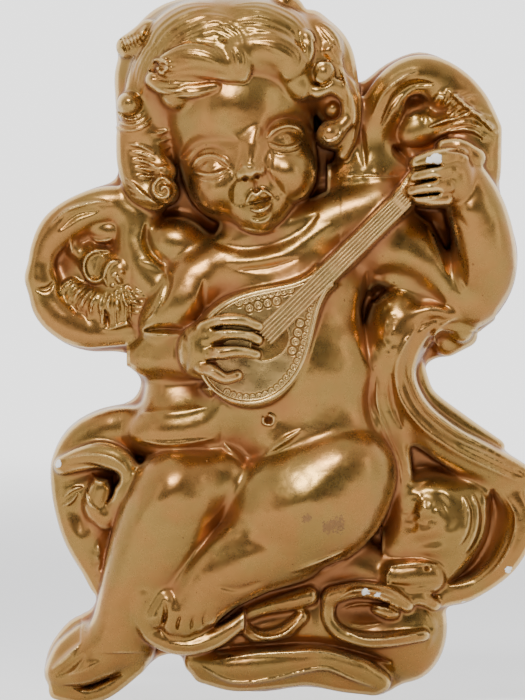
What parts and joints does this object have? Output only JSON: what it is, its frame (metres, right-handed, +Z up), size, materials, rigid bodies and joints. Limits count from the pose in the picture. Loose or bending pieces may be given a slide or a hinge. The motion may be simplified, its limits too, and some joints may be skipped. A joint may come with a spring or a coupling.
{
  "type": "angel figurine",
  "caption": "Wall relief of a seated winged child playing a mandolin, in gold-painted cast resin, with a hinged D-ring hanger recessed in its flat back.",
  "frame": {"origin": "centre of the flat back, on the wall plane, halfway up the figure", "axes": "+Z up, +Y towards the wall, -Y towards the viewer, +X towards the viewer's right (the figure's left)"},
  "size_m": [0.2183, 0.0579, 0.3032],
  "materials": {
    "gold_paint": "old gold metallic paint over cast resin, brown wash in the recesses",
    "gold_light": "rubbed lighter gold paint on raised work",
    "bare_resin": "unpainted cast resin, sanded flat",
    "plated_steel": "zinc-plated steel"
  },
  "bodies": {
    "root": {"back_slab": "bare_resin", "torso": "gold_paint", "head": "gold_paint", "hair_crown": "gold_paint", "forelock": "gold_paint", "hair_curls_right": "gold_paint", "hair_curls_left": "gold_paint", "right_wing": "gold_paint", "right_wing_feathers": "gold_paint", "left_wing": "gold_paint", "left_wing_feathers": "gold_paint", "right_upper_arm": "gold_paint", "right_forearm": "gold_paint", "right_hand": "gold_paint", "left_upper_arm": "gold_paint", "left_forearm": "gold_paint", "left_hand": "gold_paint", "right_leg": "gold_paint", "right_foot": "gold_paint", "left_leg": "gold_paint", "left_shin": "gold_paint", "left_foot": "gold_paint", "drape_knee": "gold_paint", "drape_arm": "gold_paint", "drape_swirl": "gold_paint", "drape_roll": "gold_paint", "drape_base": "gold_paint", "mandolin_bowl": "gold_paint", "mandolin_soundboard": "gold_light", "mandolin_binding": "gold_light", "mandolin_neck": "gold_paint", "mandolin_fingerboard": "gold_light", "mandolin_pegbox": "gold_paint", "mandolin_rose": "gold_paint", "mandolin_inlay": "gold_light", "mandolin_strings": "gold_light", "hanger_strap": "plated_steel", "hanger_screws": "plated_steel"},
    "ring": {"hanger_ring": "plated_steel"}
  },
  "joints": [
    {"name": "ring_swing", "type": "hinge", "parent": "root", "child": "ring", "pos_m": [0.002, -0.00305, 0.096], "axis": [-1, 0, 0], "range_deg": [0, 150]}
  ]
}
